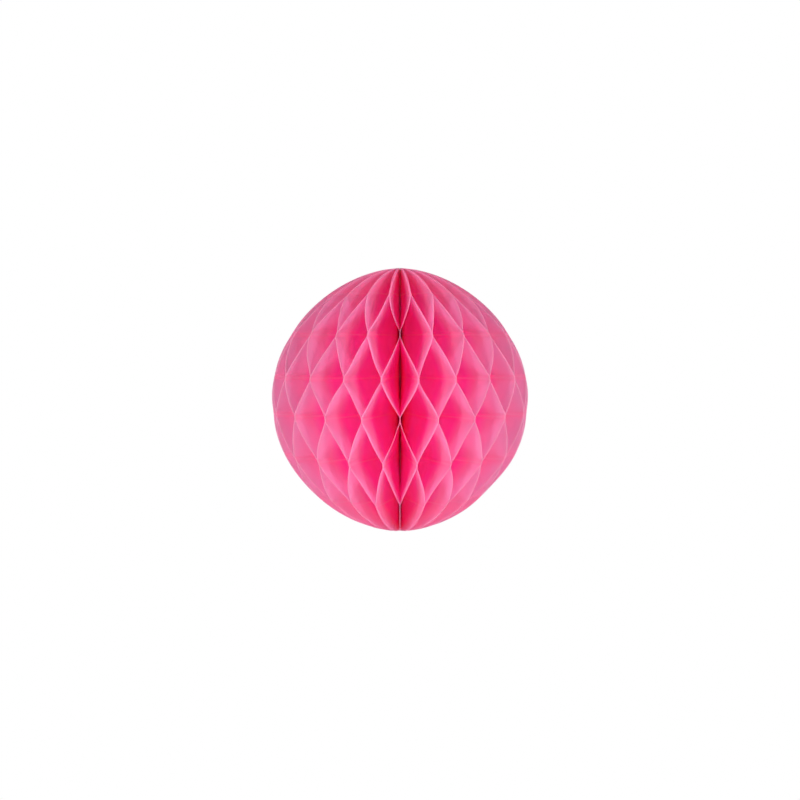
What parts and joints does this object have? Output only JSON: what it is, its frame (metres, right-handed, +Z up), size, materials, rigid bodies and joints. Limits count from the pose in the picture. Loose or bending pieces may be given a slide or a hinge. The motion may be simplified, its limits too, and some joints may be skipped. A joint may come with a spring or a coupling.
{
  "type": "paper honeycomb ball",
  "caption": "Hanging tissue-paper ball: leaves glued along staggered lines stand round a thread spine and open into cells; folds shut like a book between two half-round card covers.",
  "frame": {"origin": "centre of the ball, on the spine thread", "axes": "+Z up the spine thread; the two covers close together on the +Y side, so -Y is the front"},
  "size_m": [0.0998, 0.1, 0.1028],
  "materials": {
    "tissue_paper": "matte",
    "cover_card": "matte",
    "closing_pad": "matte",
    "thread": "matte",
    "binding_glue": "satin"
  },
  "bodies": {
    "first_cover": {"cover_card_first": "cover_card", "closing_pad_upper": "closing_pad", "closing_pad_middle": "closing_pad", "closing_pad_lower": "closing_pad", "spine_thread": "thread", "spine_binding": "binding_glue", "top_knot": "thread", "bottom_knot": "thread"},
    "fold_01": {"leaf_01": "tissue_paper"},
    "fold_02": {"leaf_02": "tissue_paper"},
    "fold_03": {"leaf_03": "tissue_paper"},
    "fold_04": {"leaf_04": "tissue_paper"},
    "fold_05": {"leaf_05": "tissue_paper"},
    "fold_06": {"leaf_06": "tissue_paper"},
    "fold_07": {"leaf_07": "tissue_paper"},
    "fold_08": {"leaf_08": "tissue_paper"},
    "fold_09": {"leaf_09": "tissue_paper"},
    "fold_10": {"leaf_10": "tissue_paper"},
    "fold_11": {"leaf_11": "tissue_paper"},
    "fold_12": {"leaf_12": "tissue_paper"},
    "fold_13": {"leaf_13": "tissue_paper"},
    "fold_14": {"leaf_14": "tissue_paper"},
    "fold_15": {"leaf_15": "tissue_paper"},
    "fold_16": {"leaf_16": "tissue_paper"},
    "fold_17": {"leaf_17": "tissue_paper"},
    "fold_18": {"leaf_18": "tissue_paper"},
    "fold_19": {"leaf_19": "tissue_paper"},
    "fold_20": {"leaf_20": "tissue_paper"},
    "fold_21": {"leaf_21": "tissue_paper"},
    "fold_22": {"leaf_22": "tissue_paper"},
    "fold_23": {"leaf_23": "tissue_paper"},
    "fold_24": {"leaf_24": "tissue_paper"},
    "fold_25": {"leaf_25": "tissue_paper"},
    "fold_26": {"leaf_26": "tissue_paper"},
    "fold_27": {"leaf_27": "tissue_paper"},
    "fold_28": {"leaf_28": "tissue_paper"},
    "fold_29": {"leaf_29": "tissue_paper"},
    "fold_30": {"leaf_30": "tissue_paper"},
    "fold_31": {"leaf_31": "tissue_paper"},
    "fold_32": {"leaf_32": "tissue_paper"},
    "fold_33": {"leaf_33": "tissue_paper"},
    "fold_34": {"leaf_34": "tissue_paper"},
    "fold_35": {"leaf_35": "tissue_paper"},
    "fold_36": {"leaf_36": "tissue_paper"},
    "fold_37": {"leaf_37": "tissue_paper"},
    "fold_38": {"leaf_38": "tissue_paper"},
    "fold_39": {"leaf_39": "tissue_paper"},
    "fold_40": {"leaf_40": "tissue_paper", "cover_card_second": "cover_card"}
  },
  "joints": [
    {"name": "fold_hinge_01", "type": "hinge", "parent": "first_cover", "child": "fold_01", "pos_m": [0, 0, 0], "axis": [0, 0, 1], "range_deg": [-7.48, 0], "deforming": ["leaf_01"]},
    {"name": "fold_hinge_02", "type": "hinge", "parent": "fold_01", "child": "fold_02", "pos_m": [0, 0, 0], "axis": [0, 0, 1], "range_deg": [-7.61, 0], "deforming": ["leaf_02"]},
    {"name": "fold_hinge_03", "type": "hinge", "parent": "fold_02", "child": "fold_03", "pos_m": [0, 0, 0], "axis": [0, 0, 1], "range_deg": [-7.84, 0], "deforming": ["leaf_03"]},
    {"name": "fold_hinge_04", "type": "hinge", "parent": "fold_03", "child": "fold_04", "pos_m": [0, 0, 0], "axis": [0, 0, 1], "range_deg": [-8.17, 0], "deforming": ["leaf_04"]},
    {"name": "fold_hinge_05", "type": "hinge", "parent": "fold_04", "child": "fold_05", "pos_m": [0, 0, 0], "axis": [0, 0, 1], "range_deg": [-8.55, 0], "deforming": ["leaf_05"]},
    {"name": "fold_hinge_06", "type": "hinge", "parent": "fold_05", "child": "fold_06", "pos_m": [0, 0, 0], "axis": [0, 0, 1], "range_deg": [-8.95, 0], "deforming": ["leaf_06"]},
    {"name": "fold_hinge_07", "type": "hinge", "parent": "fold_06", "child": "fold_07", "pos_m": [0, 0, 0], "axis": [0, 0, 1], "range_deg": [-9.33, 0], "deforming": ["leaf_07"]},
    {"name": "fold_hinge_08", "type": "hinge", "parent": "fold_07", "child": "fold_08", "pos_m": [0, 0, 0], "axis": [0, 0, 1], "range_deg": [-9.66, 0], "deforming": ["leaf_08"]},
    {"name": "fold_hinge_09", "type": "hinge", "parent": "fold_08", "child": "fold_09", "pos_m": [0, 0, 0], "axis": [0, 0, 1], "range_deg": [-9.89, 0], "deforming": ["leaf_09"]},
    {"name": "fold_hinge_10", "type": "hinge", "parent": "fold_09", "child": "fold_10", "pos_m": [0, 0, 0], "axis": [0, 0, 1], "range_deg": [-10.02, 0], "deforming": ["leaf_10"]},
    {"name": "fold_hinge_11", "type": "hinge", "parent": "fold_10", "child": "fold_11", "pos_m": [0, 0, 0], "axis": [0, 0, 1], "range_deg": [-10.02, 0], "deforming": ["leaf_11"]},
    {"name": "fold_hinge_12", "type": "hinge", "parent": "fold_11", "child": "fold_12", "pos_m": [0, 0, 0], "axis": [0, 0, 1], "range_deg": [-9.89, 0], "deforming": ["leaf_12"]},
    {"name": "fold_hinge_13", "type": "hinge", "parent": "fold_12", "child": "fold_13", "pos_m": [0, 0, 0], "axis": [0, 0, 1], "range_deg": [-9.66, 0], "deforming": ["leaf_13"]},
    {"name": "fold_hinge_14", "type": "hinge", "parent": "fold_13", "child": "fold_14", "pos_m": [0, 0, 0], "axis": [0, 0, 1], "range_deg": [-9.33, 0], "deforming": ["leaf_14"]},
    {"name": "fold_hinge_15", "type": "hinge", "parent": "fold_14", "child": "fold_15", "pos_m": [0, 0, 0], "axis": [0, 0, 1], "range_deg": [-8.95, 0], "deforming": ["leaf_15"]},
    {"name": "fold_hinge_16", "type": "hinge", "parent": "fold_15", "child": "fold_16", "pos_m": [0, 0, 0], "axis": [0, 0, 1], "range_deg": [-8.55, 0], "deforming": ["leaf_16"]},
    {"name": "fold_hinge_17", "type": "hinge", "parent": "fold_16", "child": "fold_17", "pos_m": [0, 0, 0], "axis": [0, 0, 1], "range_deg": [-8.17, 0], "deforming": ["leaf_17"]},
    {"name": "fold_hinge_18", "type": "hinge", "parent": "fold_17", "child": "fold_18", "pos_m": [0, 0, 0], "axis": [0, 0, 1], "range_deg": [-7.84, 0], "deforming": ["leaf_18"]},
    {"name": "fold_hinge_19", "type": "hinge", "parent": "fold_18", "child": "fold_19", "pos_m": [0, 0, 0], "axis": [0, 0, 1], "range_deg": [-7.61, 0], "deforming": ["leaf_19"]},
    {"name": "fold_hinge_20", "type": "hinge", "parent": "fold_19", "child": "fold_20", "pos_m": [0, 0, 0], "axis": [0, 0, 1], "range_deg": [-7.48, 0], "deforming": ["leaf_20"]},
    {"name": "fold_hinge_21", "type": "hinge", "parent": "fold_20", "child": "fold_21", "pos_m": [0, 0, 0], "axis": [0, 0, 1], "range_deg": [-7.48, 0], "deforming": ["leaf_21"]},
    {"name": "fold_hinge_22", "type": "hinge", "parent": "fold_21", "child": "fold_22", "pos_m": [0, 0, 0], "axis": [0, 0, 1], "range_deg": [-7.61, 0], "deforming": ["leaf_22"]},
    {"name": "fold_hinge_23", "type": "hinge", "parent": "fold_22", "child": "fold_23", "pos_m": [0, 0, 0], "axis": [0, 0, 1], "range_deg": [-7.84, 0], "deforming": ["leaf_23"]},
    {"name": "fold_hinge_24", "type": "hinge", "parent": "fold_23", "child": "fold_24", "pos_m": [0, 0, 0], "axis": [0, 0, 1], "range_deg": [-8.17, 0], "deforming": ["leaf_24"]},
    {"name": "fold_hinge_25", "type": "hinge", "parent": "fold_24", "child": "fold_25", "pos_m": [0, 0, 0], "axis": [0, 0, 1], "range_deg": [-8.55, 0], "deforming": ["leaf_25"]},
    {"name": "fold_hinge_26", "type": "hinge", "parent": "fold_25", "child": "fold_26", "pos_m": [0, 0, 0], "axis": [0, 0, 1], "range_deg": [-8.95, 0], "deforming": ["leaf_26"]},
    {"name": "fold_hinge_27", "type": "hinge", "parent": "fold_26", "child": "fold_27", "pos_m": [0, 0, 0], "axis": [0, 0, 1], "range_deg": [-9.33, 0], "deforming": ["leaf_27"]},
    {"name": "fold_hinge_28", "type": "hinge", "parent": "fold_27", "child": "fold_28", "pos_m": [0, 0, 0], "axis": [0, 0, 1], "range_deg": [-9.66, 0], "deforming": ["leaf_28"]},
    {"name": "fold_hinge_29", "type": "hinge", "parent": "fold_28", "child": "fold_29", "pos_m": [0, 0, 0], "axis": [0, 0, 1], "range_deg": [-9.89, 0], "deforming": ["leaf_29"]},
    {"name": "fold_hinge_30", "type": "hinge", "parent": "fold_29", "child": "fold_30", "pos_m": [0, 0, 0], "axis": [0, 0, 1], "range_deg": [-10.02, 0], "deforming": ["leaf_30"]},
    {"name": "fold_hinge_31", "type": "hinge", "parent": "fold_30", "child": "fold_31", "pos_m": [0, 0, 0], "axis": [0, 0, 1], "range_deg": [-10.02, 0], "deforming": ["leaf_31"]},
    {"name": "fold_hinge_32", "type": "hinge", "parent": "fold_31", "child": "fold_32", "pos_m": [0, 0, 0], "axis": [0, 0, 1], "range_deg": [-9.89, 0], "deforming": ["leaf_32"]},
    {"name": "fold_hinge_33", "type": "hinge", "parent": "fold_32", "child": "fold_33", "pos_m": [0, 0, 0], "axis": [0, 0, 1], "range_deg": [-9.66, 0], "deforming": ["leaf_33"]},
    {"name": "fold_hinge_34", "type": "hinge", "parent": "fold_33", "child": "fold_34", "pos_m": [0, 0, 0], "axis": [0, 0, 1], "range_deg": [-9.33, 0], "deforming": ["leaf_34"]},
    {"name": "fold_hinge_35", "type": "hinge", "parent": "fold_34", "child": "fold_35", "pos_m": [0, 0, 0], "axis": [0, 0, 1], "range_deg": [-8.95, 0], "deforming": ["leaf_35"]},
    {"name": "fold_hinge_36", "type": "hinge", "parent": "fold_35", "child": "fold_36", "pos_m": [0, 0, 0], "axis": [0, 0, 1], "range_deg": [-8.55, 0], "deforming": ["leaf_36"]},
    {"name": "fold_hinge_37", "type": "hinge", "parent": "fold_36", "child": "fold_37", "pos_m": [0, 0, 0], "axis": [0, 0, 1], "range_deg": [-8.17, 0], "deforming": ["leaf_37"]},
    {"name": "fold_hinge_38", "type": "hinge", "parent": "fold_37", "child": "fold_38", "pos_m": [0, 0, 0], "axis": [0, 0, 1], "range_deg": [-7.84, 0], "deforming": ["leaf_38"]},
    {"name": "fold_hinge_39", "type": "hinge", "parent": "fold_38", "child": "fold_39", "pos_m": [0, 0, 0], "axis": [0, 0, 1], "range_deg": [-7.61, 0], "deforming": ["leaf_39"]},
    {"name": "fold_hinge_40", "type": "hinge", "parent": "fold_39", "child": "fold_40", "pos_m": [0, 0, 0], "axis": [0, 0, 1], "range_deg": [-7.48, 0], "deforming": ["leaf_40"]}
  ],
  "couplings": [
    {"joint": "fold_hinge_02", "follows": "fold_hinge_01", "ratio": 1.0166},
    {"joint": "fold_hinge_03", "follows": "fold_hinge_01", "ratio": 1.0481},
    {"joint": "fold_hinge_04", "follows": "fold_hinge_01", "ratio": 1.0915},
    {"joint": "fold_hinge_05", "follows": "fold_hinge_01", "ratio": 1.1425},
    {"joint": "fold_hinge_06", "follows": "fold_hinge_01", "ratio": 1.1961},
    {"joint": "fold_hinge_07", "follows": "fold_hinge_01", "ratio": 1.2471},
    {"joint": "fold_hinge_08", "follows": "fold_hinge_01", "ratio": 1.2905},
    {"joint": "fold_hinge_09", "follows": "fold_hinge_01", "ratio": 1.322},
    {"joint": "fold_hinge_10", "follows": "fold_hinge_01", "ratio": 1.3386},
    {"joint": "fold_hinge_11", "follows": "fold_hinge_01", "ratio": 1.3386},
    {"joint": "fold_hinge_12", "follows": "fold_hinge_01", "ratio": 1.322},
    {"joint": "fold_hinge_13", "follows": "fold_hinge_01", "ratio": 1.2905},
    {"joint": "fold_hinge_14", "follows": "fold_hinge_01", "ratio": 1.2471},
    {"joint": "fold_hinge_15", "follows": "fold_hinge_01", "ratio": 1.1961},
    {"joint": "fold_hinge_16", "follows": "fold_hinge_01", "ratio": 1.1425},
    {"joint": "fold_hinge_17", "follows": "fold_hinge_01", "ratio": 1.0915},
    {"joint": "fold_hinge_18", "follows": "fold_hinge_01", "ratio": 1.0481},
    {"joint": "fold_hinge_19", "follows": "fold_hinge_01", "ratio": 1.0166},
    {"joint": "fold_hinge_20", "follows": "fold_hinge_01", "ratio": 1},
    {"joint": "fold_hinge_21", "follows": "fold_hinge_01", "ratio": 1},
    {"joint": "fold_hinge_22", "follows": "fold_hinge_01", "ratio": 1.0166},
    {"joint": "fold_hinge_23", "follows": "fold_hinge_01", "ratio": 1.0481},
    {"joint": "fold_hinge_24", "follows": "fold_hinge_01", "ratio": 1.0915},
    {"joint": "fold_hinge_25", "follows": "fold_hinge_01", "ratio": 1.1425},
    {"joint": "fold_hinge_26", "follows": "fold_hinge_01", "ratio": 1.1961},
    {"joint": "fold_hinge_27", "follows": "fold_hinge_01", "ratio": 1.2471},
    {"joint": "fold_hinge_28", "follows": "fold_hinge_01", "ratio": 1.2905},
    {"joint": "fold_hinge_29", "follows": "fold_hinge_01", "ratio": 1.322},
    {"joint": "fold_hinge_30", "follows": "fold_hinge_01", "ratio": 1.3386},
    {"joint": "fold_hinge_31", "follows": "fold_hinge_01", "ratio": 1.3386},
    {"joint": "fold_hinge_32", "follows": "fold_hinge_01", "ratio": 1.322},
    {"joint": "fold_hinge_33", "follows": "fold_hinge_01", "ratio": 1.2905},
    {"joint": "fold_hinge_34", "follows": "fold_hinge_01", "ratio": 1.2471},
    {"joint": "fold_hinge_35", "follows": "fold_hinge_01", "ratio": 1.1961},
    {"joint": "fold_hinge_36", "follows": "fold_hinge_01", "ratio": 1.1425},
    {"joint": "fold_hinge_37", "follows": "fold_hinge_01", "ratio": 1.0915},
    {"joint": "fold_hinge_38", "follows": "fold_hinge_01", "ratio": 1.0481},
    {"joint": "fold_hinge_39", "follows": "fold_hinge_01", "ratio": 1.0166},
    {"joint": "fold_hinge_40", "follows": "fold_hinge_01", "ratio": 1}
  ]
}
